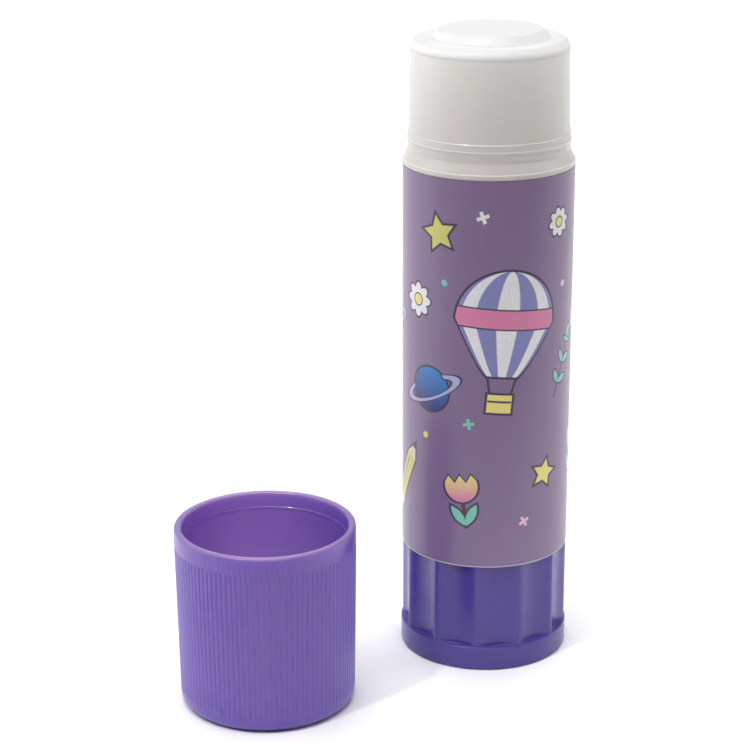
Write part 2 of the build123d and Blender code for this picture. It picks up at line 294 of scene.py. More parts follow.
# %% Carve the flutes and the socket
half_pitch = math.pi / FLUTE_COUNT
half_ridge = RIDGE_WIDTH / 2 / GRIP_RADIUS
ridge_edge_x = GRIP_RADIUS * math.cos(half_pitch - half_ridge)
ridge_edge_y = GRIP_RADIUS * math.sin(half_pitch - half_ridge)
flute_rise = ridge_edge_x - FLOOR_RADIUS
flute_radius = (ridge_edge_y**2 + flute_rise**2) / (2 * flute_rise)
flute_centre = FLOOR_RADIUS + flute_radius
RIDGE_ROUNDING = 0.34
FLUTE_FILLET = 0.14


def fluted(radius, angle, height):
    """Push the grip in to its flutes, and give the screw's socket six sides."""
    if radius < SOCKET_RADIUS + 0.1 and height > SOCKET_FLOOR - 0.1:
        turn = angle % (math.pi / 3) - math.pi / 6
        return SOCKET_APOTHEM / math.cos(turn)
    on_grip = GRIP_RADIUS - 0.06 <= radius <= GRIP_RADIUS + 0.001
    if not on_grip or not FOOT_HEIGHT - 0.001 < height < GRIP_TOP + 0.001:
        return radius
    turn = (angle - RIDGE_ANGLE) % (2 * half_pitch) - half_pitch
    reach = flute_radius**2 - (flute_centre * math.sin(turn))**2
    flute = flute_centre * math.cos(turn) - math.sqrt(max(reach, 0.0))
    overlap = max(RIDGE_ROUNDING - abs(flute - radius), 0.0) / RIDGE_ROUNDING
    shaped = min(flute, radius) - overlap**2 * RIDGE_ROUNDING / 4
    climb = max(FLUTE_FILLET - (height - FOOT_HEIGHT), 0.0)
    fillet = FLUTE_FILLET - math.sqrt(FLUTE_FILLET**2 - climb**2)
    return min(shaped + fillet, radius)


carve(base, fluted)
finish_piece(base, "twist_base", "twist_base")
print("flutes are arcs of radius", round(flute_radius, 1), "mm")

# %% [markdown]
# The barrel is a tube of uncoloured plastic. Outside it has a very shallow panel for the label, a
# rounded shoulder and a tapered neck with a snap ring and two low lugs. Inside, four narrow ribs keep
# the glue's carrier from turning.

# %% Turn the barrel
BORE = barrel_radius - 1.9
PANEL = barrel_radius - 0.12
NECK_FOOT = barrel_radius - 0.66
PANEL_TOP = label_high.z + 0.06
BAND_TOP = PANEL_TOP + 0.24
RING_HEIGHT = BAND_TOP + 3.63
LOW_LINE_ROUNDING, HIGH_LINE_ROUNDING = 0.06, 0.05
LUG_BOTTOM, LUG_TOP = BAND_TOP + 1.95, BAND_TOP + 2.5
RIB_ENDS = (base_high.z + 0.3, lid_low.z - 0.3)
GROOVE_LOW, GROOVE_HIGH = barrel_low.z + 1.75, barrel_low.z + 2.89
ROUND_STEPS = 480

barrel = turn_piece("barrel_shell", [
    (BORE, barrel_low.z, 0.06),
    (barrel_radius, barrel_low.z, 0.06),
    (barrel_radius, label_low.z - 0.06, 0),
    (PANEL, label_low.z - 0.06, 0),
    (PANEL, PANEL_TOP, 0),
    (barrel_radius, PANEL_TOP, 0.04),
    (barrel_radius, BAND_TOP + 0.42, 0.12),
    (barrel_radius - 0.14, BAND_TOP + 0.46, 0),
    (NECK_FOOT, BAND_TOP + 1.75, 1.2),
    (NECK_FOOT, LUG_BOTTOM - 0.06, 0),
    (NECK_FOOT, LUG_BOTTOM, 0),
    (NECK_FOOT, LUG_BOTTOM + 0.06, 0),
    (NECK_FOOT, LUG_TOP - 0.06, 0),
    (NECK_FOOT, LUG_TOP, 0),
    (NECK_FOOT, LUG_TOP + 0.06, 0),
    (NECK_FOOT, RING_HEIGHT - 0.70, 0.1),
    (NECK_FOOT + 0.08, RING_HEIGHT - 0.52, LOW_LINE_ROUNDING),
    (NECK_FOOT + 0.08, RING_HEIGHT - 0.42, LOW_LINE_ROUNDING),
    (NECK_FOOT + 0.01, RING_HEIGHT - 0.30, LOW_LINE_ROUNDING),
    (NECK_FOOT - 0.02, RING_HEIGHT + 0.38, 0.1),
    (NECK_FOOT - 0.01, RING_HEIGHT + 0.50, HIGH_LINE_ROUNDING),
    (NECK_FOOT - 0.10, RING_HEIGHT + 0.628, HIGH_LINE_ROUNDING),
    (NECK_FOOT - 0.18, BAND_TOP + 5.7, 8.0),
    (lid_high.x, barrel_high.z, 0.04),
    (BORE, barrel_high.z, 0.06),
    (BORE, RIB_ENDS[1] + 0.1, 0),
    (BORE, RIB_ENDS[1], 0),
    (BORE, RIB_ENDS[0], 0),
    (BORE, RIB_ENDS[0] - 0.1, 0),
    (BORE, GROOVE_HIGH, 0),
    (BORE + SNAP_LIFT, GROOVE_HIGH - SNAP_LIFT, 0),
    (BORE + SNAP_LIFT, GROOVE_LOW + SNAP_LIFT, 0),
    (BORE, GROOVE_LOW, 0),
], ROUND_STEPS)

# %% [markdown]
# The lugs on the neck and the ribs in the bore are moved out of the turned tube, with one step of
# slope at each end, as a mould maker would cut them.

# %% Raise the lugs and the key ribs
LUG_LIFT = 0.045
LUG_HALF_ARC, LUG_SLOPE = math.radians(22), math.radians(1.2)
LUG_ANGLES = (math.radians(-56), math.radians(124))
KEY_RIB_HEIGHT = 0.45
KEY_RIB_HALF_WIDTH, SLOPE_WIDTH = 0.4, 0.12
KEY_RIB_ANGLES = [math.radians(45 + 90 * i) for i in range(4)]


def turn_between(angle, middle):
    """How far an angle lies from a middle, in radians."""
    return abs((angle - middle + math.pi) % (2 * math.pi) - math.pi)


def with_lugs(radius, angle, height):
    """Raise the outside in the lugs and bring the bore in at the key ribs."""
    if abs(radius - NECK_FOOT) < 0.01 and LUG_BOTTOM - 0.01 < height < LUG_TOP + 0.01:
        off_middle = min(turn_between(angle, middle) for middle in LUG_ANGLES)
        share = min(max((LUG_HALF_ARC - off_middle) / LUG_SLOPE, 0.0), 1.0)
        edge = 1.0 if LUG_BOTTOM + 0.05 < height < LUG_TOP - 0.05 else 0.6
        return radius + LUG_LIFT * share * edge
    if abs(radius - BORE) < 0.01 and RIB_ENDS[0] - 0.01 < height < RIB_ENDS[1] + 0.01:
        off_middle = min(turn_between(angle, middle) for middle in KEY_RIB_ANGLES) * BORE
        share = min(max((KEY_RIB_HALF_WIDTH + SLOPE_WIDTH / 2 - off_middle) / SLOPE_WIDTH, 0.0), 1.0)
        return radius - KEY_RIB_HEIGHT * share
    return radius


carve(barrel, with_lugs)
finish_piece(barrel, "barrel", "barrel")
print("lugs stand", LUG_LIFT, "mm proud and key ribs", KEY_RIB_HEIGHT, "mm")

# %% [markdown]
# A white lid closes the mouth until the stick is first used. It has a flange as wide as the neck, a
# raised round boss and a plug that grips the bore, all in one thin wall.

# %% Turn the inner lid
LID_SEAT = barrel_high.z + 0.01
BOSS_TOP, BOSS_FOOT, BOSS_HEIGHT = 6.9, 7.8, 1.2
LID_TOP = lid_high.z - BOSS_HEIGHT
LID_CORNER, LID_WALL = 1.05, 0.9
PLUG, PLUG_EDGE = BORE - 0.08, 0.2

inner_lid = turn_piece("lid_shell", [
    (0, lid_high.z, 0),
    (BOSS_TOP, lid_high.z, 0.5),
    (BOSS_FOOT, LID_TOP, 0.6),
    (lid_high.x, LID_TOP, LID_CORNER),
    (lid_high.x, LID_SEAT, 0),
    (PLUG, LID_SEAT, 0),
    (PLUG, lid_low.z, PLUG_EDGE),
    (PLUG - LID_WALL, lid_low.z, PLUG_EDGE),
    (PLUG - LID_WALL, LID_TOP - LID_WALL, 0),
    (BOSS_TOP, LID_TOP - LID_WALL, 0),
    (BOSS_TOP - LID_WALL, lid_high.z - LID_WALL, 0.3),
    (0, lid_high.z - LID_WALL, 0),
], ROUND_STEPS // 2)
finish_piece(inner_lid, "inner_lid", "inner_lid")

# %% Note which parts of the lid face up
# The lid's material reads this to paint shade on the parts that face up.
facing_up = inner_lid.data.attributes.new("facing_up", "FLOAT", "POINT")
for vertex, share in zip(inner_lid.data.vertices, facing_up.data):
    share.value = max(vertex.normal.z, 0.0)
print("lid points that face up:", sum(share.value > 0.9 for share in facing_up.data))

# %% [markdown]
# The glue is cast warm into the barrel and sets as a waxy rod. Its top has the step that the lid
# leaves, its side has the four slots of the barrel's ribs, and a hole down the middle clears the screw.
# At its foot it is cast round the carrier's nut, anchor ring and skirt, which hold it.

# %% Turn the glue
GLUE = glue_high.x
GLUE_STEP, GLUE_SHOULDER = PLUG - 1.2, LID_TOP - 1.2
CROWN_FOOT, CROWN_TOP = 6.6, 5.7
SCREW_HOLE, HOLE_TOP = 3.3, lid_low.z - 3.45
NUT_ROOM, NUT_ROOM_TOP = 4.84, glue_low.z + 2.4
ANCHOR_INSIDE, ANCHOR_OUTSIDE, ANCHOR_TOP = 6.36, 7.24, glue_low.z + 2.6
SKIRT_INSIDE, SKIRT_LIP, SKIRT_TOP = 8.11, 8.61, glue_low.z + 1.6
SLOT_DEPTH = 0.45
SLOT_HALF_WIDTH = 0.55

glue = turn_piece("glue_rod", [
    (0, HOLE_TOP, 0),
    (SCREW_HOLE, HOLE_TOP, 0),
    (SCREW_HOLE, NUT_ROOM_TOP, 0),
    (NUT_ROOM, NUT_ROOM_TOP, 0),
    (NUT_ROOM, glue_low.z, 0),
    (ANCHOR_INSIDE, glue_low.z, 0),
    (ANCHOR_INSIDE, ANCHOR_TOP, 0),
    (ANCHOR_OUTSIDE, ANCHOR_TOP, 0),
    (ANCHOR_OUTSIDE, glue_low.z, 0),
    (SKIRT_INSIDE, glue_low.z, 0),
    (SKIRT_INSIDE, SKIRT_TOP - 0.5, 0),
    (SKIRT_LIP, SKIRT_TOP, 0),
    (GLUE, SKIRT_TOP, 0),
    (GLUE, lid_low.z - 0.3, 0.3),
    (GLUE_STEP, lid_low.z - 0.3, 0.3),
    (GLUE_STEP, GLUE_SHOULDER, 0.5),
    (CROWN_FOOT, GLUE_SHOULDER, 0.4),
    (CROWN_TOP, glue_high.z, 0.5),
    (0, glue_high.z, 0),
], ROUND_STEPS)


def slotted(radius, angle, height):
    """Press in the four slots that run on the barrel's key ribs."""
    if radius < GLUE - 0.35 or height > lid_low.z - 0.25:
        return radius
    off_middle = min(turn_between(angle, middle) for middle in KEY_RIB_ANGLES) * GLUE
    share = min(max((SLOT_HALF_WIDTH + SLOPE_WIDTH / 2 - off_middle) / SLOPE_WIDTH, 0.0), 1.0)
    return min(radius, GLUE - SLOT_DEPTH * share)


carve(glue, slotted)
finish_piece(glue, "carrier", "glue")

# %% [markdown]
# The label is one sheet of thin printed film. It is wound once round the barrel and its end is stuck
# down over its start, which leaves a fine step up the back. So it is modelled as a flat grid that is
# rolled up, and then given its thickness. Each point keeps its place on the flat sheet, in millimetres,
# in an attribute called print_mm, because the print is drawn on the sheet before it is rolled.

# %% Roll up the label
FILM = 0.10
LAP, LAP_ANGLE = 2.5, math.radians(96)
CLIMB_START, CLIMB_LENGTH = 1.7, 1.3
CUTS_ALONG, CUTS_UP = 448, 16
film_radius = label_high.x - FILM / 2
girth = 2 * math.pi * film_radius
film_height = label_high.z - label_low.z

bpy.ops.object.select_all(action="DESELECT")
bpy.ops.mesh.primitive_grid_add(x_subdivisions=CUTS_ALONG, y_subdivisions=CUTS_UP, size=1)
label = bpy.context.object
label.name = label.data.name = "label_film"
sheet_place = label.data.attributes.new("print_mm", "FLOAT_VECTOR", "POINT")
for vertex, place in zip(label.data.vertices, sheet_place.data):
    along, up = (vertex.co.x + 0.5) * (girth + LAP), (vertex.co.y + 0.5) * film_height
    place.vector = (along, up, 0)
    climb = min(max((along - girth + CLIMB_START) / CLIMB_LENGTH, 0.0), 1.0)
    radius = film_radius + FILM * climb * climb * (3 - 2 * climb)
    angle = LAP_ANGLE + along / film_radius
    vertex.co = Vector((radius * math.cos(angle), radius * math.sin(angle), label_low.z + up)) * MM
only(label)
bpy.ops.object.mode_set(mode="EDIT")
bpy.ops.mesh.select_all(action="SELECT")
bpy.ops.mesh.normals_make_consistent(inside=False)
bpy.ops.object.mode_set(mode="OBJECT")
first = label.data.polygons[0]
if first.normal.dot(Vector((first.center.x, first.center.y, 0))) < 0:
    label.data.flip_normals()
apply_modifier(label, "SOLIDIFY", thickness=FILM * MM, offset=0.0)
finish_piece(label, "barrel", "label")
print("the film is", round(girth + LAP, 1), "by", round(film_height, 1), "mm")

# %% [markdown]
# The print is drawn with nodes, so it stays sharp from any distance. Each motif gets coordinates of its
# own, in millimetres from its centre, and a formula that tells how far a point is outside its outline.
# Where that distance is below zero, the motif's ink covers what lies under it. The small class below
# turns sums and products into Math nodes, so that those formulas read as plain arithmetic.

# %% Colours and node helpers
def ink(red, green, blue):
    """A colour from the usual 0 to 255 scale, made linear for the shader."""
    shares = (value / 255 for value in (red, green, blue))
    return (*(x / 12.92 if x <= 0.04045 else ((x + 0.055) / 1.055) ** 2.4 for x in shares), 1.0)


def feed(tree, socket, value):
    """Join a socket to another, or set it to a number or a colour."""
    if isinstance(value, Amount):
        value = value.socket
    if isinstance(value, bpy.types.NodeSocket):
        tree.links.new(value, socket)
    else:
        socket.default_value = value


def mixed(tree, share, under, over):
    """Mix two colours by a share from 0 to 1."""
    mix = tree.nodes.new("ShaderNodeMix")
    mix.data_type = "RGBA"
    for name, value in (("Factor", share), ("A", under), ("B", over)):
        feed(tree, mix.inputs[name], value)
    return mix.outputs["Result"]


# %% Formulas made of Math nodes
class Amount:
    """A number at each point of a surface. What is done to it becomes Math nodes."""

    def __init__(self, tree, socket):
        self.tree, self.socket = tree, socket

    def math(self, operation, *others, clamp=False):
        node = self.tree.nodes.new("ShaderNodeMath")
        node.operation, node.use_clamp = operation, clamp
        for socket, value in zip(node.inputs, (self, *others)):
            feed(self.tree, socket, value)
        return Amount(self.tree, node.outputs[0])

    def __add__(self, other):
        return self.math("ADD", other)

    def __sub__(self, other):
        return self.math("SUBTRACT", other)

    def __mul__(self, other):
        return self.math("MULTIPLY", other)

    def __abs__(self):
        return self.math("ABSOLUTE")

    def most(self, other):
        return self.math("MAXIMUM", other)

    def least(self, other):
        return self.math("MINIMUM", other)

    def folded(self, span):
        return self.math("PINGPONG", span)

    def reach(self, other):
        """Length of the line to a point this far across and that far up."""
        return (self * self).math("ADD", other * other).math("SQRT")


def smooth_range(amount, start, end):
    """0 below start, 1 above end, and a smooth step between."""
    node = amount.tree.nodes.new("ShaderNodeMapRange")
    node.interpolation_type = "SMOOTHSTEP"
    for name, value in (("Value", amount.socket), ("From Min", start), ("From Max", end)):
        feed(amount.tree, node.inputs[name], value)
    return Amount(amount.tree, node.outputs["Result"])


# %% [markdown]
# A motif is a node group that prints itself over what it is given. Its inputs are its place on the
# sheet, its turn, its size and its inks, so one group serves for every copy. Most shapes get a dark
# outline a third of a millimetre wide, as on a sheet of stickers.

# %% Motifs as node groups
OUTLINE = 0.32
PRINT_EDGE = 0.07
DARK = ink(58, 50, 68)


class Motif:
    """A node group that prints one motif: x and y are its own coordinates in mm from its centre."""

    def __init__(self, name, drawing, **inks):
        self.tree = bpy.data.node_groups.new(name, "ShaderNodeTree")
        kinds = {"Under": "Color", "Place": "Vector", "Turn": "Vector", "Size": "Float"}
        kinds.update({name_of_ink: "Color" for name_of_ink in inks})
        for socket, kind in kinds.items():
            self.tree.interface.new_socket(socket, in_out="INPUT", socket_type="NodeSocket" + kind)
        self.tree.interface.new_socket("Printed", in_out="OUTPUT", socket_type="NodeSocketColor")
        self.given = self.tree.nodes.new("NodeGroupInput").outputs
        self.inks = inks
        self.place_axes()
        self.top = self.given["Under"]
        drawing(self)
        self.tree.links.new(self.top, self.tree.nodes.new("NodeGroupOutput").inputs[0])

    def place_axes(self):
        """Turn a place on the flat sheet into the motif's own x and y."""
        sheet = self.tree.nodes.new("ShaderNodeAttribute")
        sheet.attribute_name = "print_mm"
        mapping = self.tree.nodes.new("ShaderNodeMapping")
        mapping.vector_type = "TEXTURE"
        self.tree.links.new(sheet.outputs["Vector"], mapping.inputs["Vector"])
        for name, given in (("Location", "Place"), ("Rotation", "Turn"), ("Scale", "Size")):
            self.tree.links.new(self.given[given], mapping.inputs[name])
        split = self.tree.nodes.new("ShaderNodeSeparateXYZ")
        self.tree.links.new(mapping.outputs["Vector"], split.inputs[0])
        self.x, self.y = (Amount(self.tree, split.outputs[axis]) for axis in "XY")
        self.slope = Amount(self.tree, self.given["Size"]) * (-1 / PRINT_EDGE)

    def over(self, under, outside, colour, grow=0.0):
        """Colour that covers another where a shape's outside distance is below grow."""
        share = outside.math("MULTIPLY_ADD", self.slope, 0.5 + grow / PRINT_EDGE, clamp=True)
        return mixed(self.tree, share, under, colour)

    def cover(self, outside, colour, grow=0.0):
        """Print a shape over all that is printed so far."""
        self.top = self.over(self.top, outside, colour, grow)

    def sticker(self, outside, colour, line=OUTLINE):
        """Print a shape with a dark outline."""
        self.cover(outside, DARK, line)
        self.cover(outside, colour)

    def disc(self, radius, x=0.0, y=0.0):
        """Distance outside a round disc."""
        return (self.x - x).reach(self.y - y) - radius

    def box(self, half_width, half_height, x=0.0, y=0.0):
        """Distance outside an upright box."""
        return (abs(self.x - x) - half_width).most(abs(self.y - y) - half_height)


def leaf(across, along, half_width, half_length):
    """Distance outside a pointed leaf, the overlap of two discs."""
    radius = (half_length**2 + half_width**2) / (2 * half_width)
    return (abs(across) + (radius - half_width)).reach(along) - radius


# %% [markdown]
# The motifs are simple things that suit a craft table: a hot-air balloon, a planet, stars, daisies,
# tulips, leafy sprigs, rainbows, pencils and strips of paper tape. Each is a few of the shapes above.

# %% Choose the inks
WHITE = ink(240, 238, 240)
PERIWINKLE = ink(134, 136, 194)
PALE_BLUE = ink(178, 180, 222)
PINK = ink(226, 132, 172)
PALE_PINK = ink(240, 190, 212)
LIME = ink(214, 210, 112)
YELLOW = ink(243, 226, 128)
MINT = ink(128, 204, 190)
NAVY = ink(34, 44, 122)
AZURE = ink(32, 132, 206)
WOOD = ink(236, 214, 186)
GROUND = ink(132, 108, 146)


# %% Motifs with petals and points
def draw_star(motif):
    """Five-pointed star, 4 mm across."""
    far = motif.x.reach(motif.y)
    turned = motif.x.math("ARCTAN2", motif.y).folded(math.pi / 5)
    tip, notch = 2.0, 1.0
    edge = Vector((notch * math.sin(math.pi / 5), notch * math.cos(math.pi / 5) - tip)).normalized()
    across, ahead = far * turned.math("SINE"), far * turned.math("COSINE") - tip
    motif.sticker(across * -edge.y + ahead * edge.x, motif.given["Fill"])


def draw_daisy(motif):
    """Daisy with eight petals and a yellow heart, 5 mm across."""
    waves = abs((motif.x.math("ARCTAN2", motif.y) * 4.0).math("COSINE"))
    motif.sticker(motif.x.reach(motif.y) - waves * 0.75 - 1.7, motif.given["Fill"])
    motif.sticker(motif.disc(0.8), YELLOW, 0.18)


def draw_tulip(motif):
    """Tulip, 9 mm tall, pink below and yellow above."""
    motif.cover(motif.box(0.3, 2.4, 0, -2.4), DARK)
    tilt = 0.55
    side, rise = abs(motif.x), motif.y + 4.4
    along = side * math.sin(tilt) + rise * math.cos(tilt) - 1.7
    across = side * math.cos(tilt) - rise * math.sin(tilt)
    motif.sticker(leaf(across, along, 0.6, 1.7), MINT)
    crown = (motif.x + 0.8).folded(0.8) * -1.4 + motif.y - 1.7
    petals = mixed(motif.tree, motif.y.math("MULTIPLY_ADD", 0.3, 0.2, clamp=True), PINK, YELLOW)
    motif.sticker(motif.disc(2.3, 0, 1.3).most(crown), petals)


def draw_sprig(motif):
    """Leafy sprig with three pairs of leaves, 10 mm long."""
    side, rise = abs(motif.x), motif.y.math("WRAP", 2.5, -0.5)
    slant = math.sqrt(0.5)
    pair = leaf((side - rise) * slant, (side + rise) * slant - 1.1, 0.45, 1.1)
    leaves = pair.most(abs(motif.y) - 3.5).least(leaf(motif.x, motif.y - 4.5, 0.45, 1.1))
    motif.cover(motif.box(0.12, 4.4, 0, -0.9), DARK)
    motif.sticker(leaves, motif.given["Fill"], 0.22)


# %% The balloon and the planet
def draw_balloon(motif):
    """Hot-air balloon, 14 mm wide and 20 mm tall, with striped gores and a band."""
    below = motif.y.least(0.0)
    wide = motif.x * (below * -0.085 + 1.0)
    tall = motif.y - below * 0.18
    skin = (wide.reach(tall) - 7.0).most(motif.y * -1.0 - 7.4)
    room = (tall * tall * -1.0 + 49.5).most(0.5).math("SQRT")
    gore = wide.math("DIVIDE", room).least(1.0).most(-1.0).math("ARCSINE") * (7 / math.pi)
    stripes = motif.over(motif.given["Gap"], gore.folded(1.0) * -1.0 + 0.5, motif.given["Fill"])
    band = abs(motif.y - 0.4) - 1.25
    stripes = motif.over(motif.over(stripes, band, DARK, 0.2), band, motif.given["Band"])
    ropes = (abs(abs(motif.x) - motif.y * 0.22 - 3.6) - 0.16).most(abs(motif.y + 8.8) - 1.5)
    motif.cover(ropes, DARK)
    motif.sticker(motif.box(1.45, 1.05, 0, -11.2) - 0.2, YELLOW)
    motif.cover(motif.box(1.6, 0.14, 0, -10.9), DARK)
    motif.sticker(skin, stripes)


def draw_planet(motif):
    """Ringed planet, 6 mm across, dark blue below and light blue above."""
    globe = motif.disc(3.0)
    share = (motif.x + motif.y).math("MULTIPLY_ADD", 0.14, 0.42, clamp=True)
    motif.sticker(globe, mixed(motif.tree, share, NAVY, AZURE))
    ring = abs(motif.x.reach(motif.y * 3.4) - 4.5) * 0.6 - 0.35
    motif.sticker(ring.most(globe.most(motif.y * -1.0) * -1.0), PALE_BLUE, 0.22)


# %% Rainbow, pencil and paper tape
def banded(position, bands):
    """Colour ramp with hard steps: bands are (start, colour) along an amount from 0 to 1."""
    ramp = position.tree.nodes.new("ShaderNodeValToRGB")
    ramp.color_ramp.interpolation = "CONSTANT"
    stops = ramp.color_ramp.elements
    while len(stops) < len(bands):
        stops.new(1.0)
    for stop, (start, colour) in zip(stops, bands):
        stop.position, stop.color = start, colour
    feed(position.tree, ramp.inputs[0], position)
    return ramp.outputs["Color"]


def draw_rainbow(motif):
    """Rainbow of four bands, 11 mm wide."""
    far = motif.x.reach(motif.y)
    bands = banded(far * 0.1, [(0.0, PERIWINKLE), (0.3, MINT), (0.38, YELLOW), (0.46, PINK)])
    motif.sticker((abs(far - 3.8) - 1.6).most(motif.y * -1.0), bands)


def draw_pencil(motif):
    """Pencil, 14 mm long, with its point to the right."""
    taper = (motif.x - 4.2).most(0.0) * 0.48
    outside = (abs(motif.y) + taper - 1.2).most(motif.x * -1.0 - 7.0)
    bands = banded(motif.x * 0.05 + 0.5, [
        (0.0, PINK), (0.205, WHITE), (0.26, LIME), (0.71, WOOD), (0.79, DARK)])
    motif.sticker(outside, bands)
    motif.cover(motif.box(4.2, 0.09, -0.5, 0.38), DARK)


def draw_tape(motif):
    """Strip of dotted paper tape with torn ends, 15 by 5 mm."""
    strip = (abs(motif.x) + motif.y.folded(0.55) * 0.9 - 7.5).most(abs(motif.y) - 2.4)
    dots = (motif.x.folded(1.2) - 0.6).reach(motif.y.folded(1.2) - 0.6) - 0.32
    motif.cover(strip, motif.over(motif.given["Fill"], dots, WHITE))


# %% Small fillers, and all the groups
def draw_cross(motif):
    """Small plus sign."""
    motif.cover(motif.box(0.85, 0.24).least(motif.box(0.24, 0.85)), motif.given["Fill"])


def draw_dot(motif):
    """Small round dot."""
    motif.cover(motif.disc(0.45), motif.given["Fill"])


motifs = {
    "star": Motif("star", draw_star, Fill=LIME),
    "daisy": Motif("daisy", draw_daisy, Fill=WHITE),
    "tulip": Motif("tulip", draw_tulip),
    "sprig": Motif("sprig", draw_sprig, Fill=MINT),
    "balloon": Motif("balloon", draw_balloon, Fill=PERIWINKLE, Gap=WHITE, Band=PINK),
    "planet": Motif("planet", draw_planet),
    "rainbow": Motif("rainbow", draw_rainbow),
    "pencil": Motif("pencil", draw_pencil),
    "tape": Motif("tape", draw_tape, Fill=PALE_PINK),
    "cross": Motif("cross", draw_cross, Fill=WHITE),
    "dot": Motif("dot", draw_dot, Fill=WHITE),
}
print("motifs:", {name: len(motif.tree.nodes) for name, motif in motifs.items()})

# %% [markdown]
# The sheet is laid out like a page of stickers: one large balloon faces the viewer and smaller motifs
# are spread round it, at odd angles, so that no side of the stick is empty. FRONT is the place along
# the sheet, in millimetres, that faces the viewer. Each row is a motif, its place along and up the
# sheet, its turn in degrees, its size, and the inks that differ from its usual ones.

# %% List what the sheet carries
FRONT = 34.3
layout = [
    ("balloon", FRONT + 2.6, 34.5, -5, 1.0, {}),
    ("planet", FRONT - 8.3, 24.5, 24, 1.0, {}),
    ("star", FRONT - 6.9, 46.2, 12, 1.25, {}),
    ("daisy", FRONT + 10.6, 47.2, 10, 0.8, {}),
    ("daisy", FRONT - 10.6, 36.5, 0, 0.95, {}),
    ("tulip", FRONT - 3.2, 10.2, 8, 1.0, {}),
    ("sprig", FRONT + 12.2, 27.5, -24, 0.95, {}),
    ("star", FRONT + 8.6, 12.6, -14, 1.0, {"Fill": YELLOW}),
    ("pencil", FRONT - 14.0, 10.5, 62, 0.9, {}),
    ("cross", FRONT - 0.8, 48.8, 20, 1.0, {}),
    ("cross", FRONT - 2.4, 20.4, 10, 0.9, {"Fill": MINT}),
    ("cross", FRONT + 5.4, 6.2, 30, 0.9, {"Fill": PALE_PINK}),
    ("dot", FRONT - 6.0, 39.6, 0, 1.0, {"Fill": MINT}),
    ("dot", FRONT - 9.0, 17.8, 0, 1.0, {"Fill": YELLOW}),
    ("dot", FRONT + 11.8, 38.6, 0, 1.0, {"Fill": PALE_PINK}),
    ("tape", FRONT + 19.5, 38.0, 74, 1.0, {}),
    ("tulip", FRONT + 17.0, 14.5, -8, 0.95, {}),
    ("rainbow", FRONT + 25.6, 25.5, 6, 1.0, {}),
    ("star", FRONT + 26.8, 44.5, 8, 1.15, {}),
    ("planet", FRONT + 30.0, 9.5, 30, 0.9, {}),
    ("daisy", FRONT + 24.0, 8.8, 12, 0.9, {"Fill": PALE_PINK}),
    ("cross", FRONT + 22.6, 17.0, 0, 1.0, {}),
    ("sprig", FRONT + 33.0, 35.0, 18, 1.0, {}),
    ("balloon", FRONT - 24.6, 37.5, 7, 0.72, {"Fill": PINK, "Gap": PALE_PINK, "Band": LIME}),
    ("star", FRONT - 17.6, 46.5, -10, 0.9, {"Fill": YELLOW}),
    ("planet", FRONT - 17.8, 32.5, 18, 0.7, {}),
    ("rainbow", FRONT - 25.4, 13.0, -8, 0.9, {}),
    ("daisy", FRONT - 19.5, 21.8, 0, 0.85, {}),
    ("sprig", FRONT - 31.0, 24.5, 14, 0.9, {}),
    ("cross", FRONT - 30.0, 44.5, 12, 1.0, {"Fill": MINT}),
    ("dot", FRONT - 24.8, 23.0, 0, 1.1, {"Fill": YELLOW}),
]
print("the sheet carries", len(layout), "motifs")


# %% Print the sheet
def fresh_material(name):
    """Make a material and return it with its node tree and its Principled shader."""
    material = bpy.data.materials.new(name)
    material.use_nodes = True
    return material, material.node_tree, material.node_tree.nodes["Principled BSDF"]


label_material, label_tree, label_shader = fresh_material("printed_film")
printed = GROUND
for name, along, up, turn, size, inks in layout:
    copy = label_tree.nodes.new("ShaderNodeGroup")
    copy.node_tree = motifs[name].tree
    settings = {**motifs[name].inks, **inks}
    settings.update(Under=printed, Place=(along, up, 0), Turn=(0, 0, math.radians(turn)), Size=size)
    for socket, value in settings.items():
        feed(label_tree, copy.inputs[socket], value)
    printed = copy.outputs["Printed"]
print("the print has", len(label_tree.nodes), "nodes")

# %% [markdown]
# The film under the ink is smooth and satin. Its gloss is a little uneven, as a laminate's is, the ink
# has the fine speckle of a printing screen, and the sheet is not perfectly flat.

# %% Unevenness made of noise
def object_noise(tree, size, detail=3.0, roughness=0.5):
    """Noise with features of this size in mm, fixed to the object."""
    place = tree.nodes.new("ShaderNodeTexCoord")
    noise = tree.nodes.new("ShaderNodeTexNoise")
    noise.inputs["Scale"].default_value = 1 / (size * MM)
    noise.inputs["Detail"].default_value = detail
    noise.inputs["Roughness"].default_value = roughness
    tree.links.new(place.outputs["Object"], noise.inputs["Vector"])
    return Amount(tree, noise.outputs["Fac"])


def uneven_gloss(tree, shader, roughness, spread, size):
    """Let the roughness wander about a value."""
    wander = object_noise(tree, size).math("MULTIPLY_ADD", 2 * spread, roughness - spread)
    feed(tree, shader.inputs["Roughness"], wander)


def skin_bump(tree, shader, layers):
    """Bump from layers of noise: (size in mm, height in mm)."""
    normal = None
    for size, height in layers:
        bump = tree.nodes.new("ShaderNodeBump")
        bump.inputs["Strength"].default_value = 1.0
        bump.inputs["Distance"].default_value = height * MM
        feed(tree, bump.inputs["Height"], object_noise(tree, size, 2.0))
        if normal:
            tree.links.new(normal, bump.inputs["Normal"])
        normal = bump.outputs["Normal"]
    tree.links.new(normal, shader.inputs["Normal"])


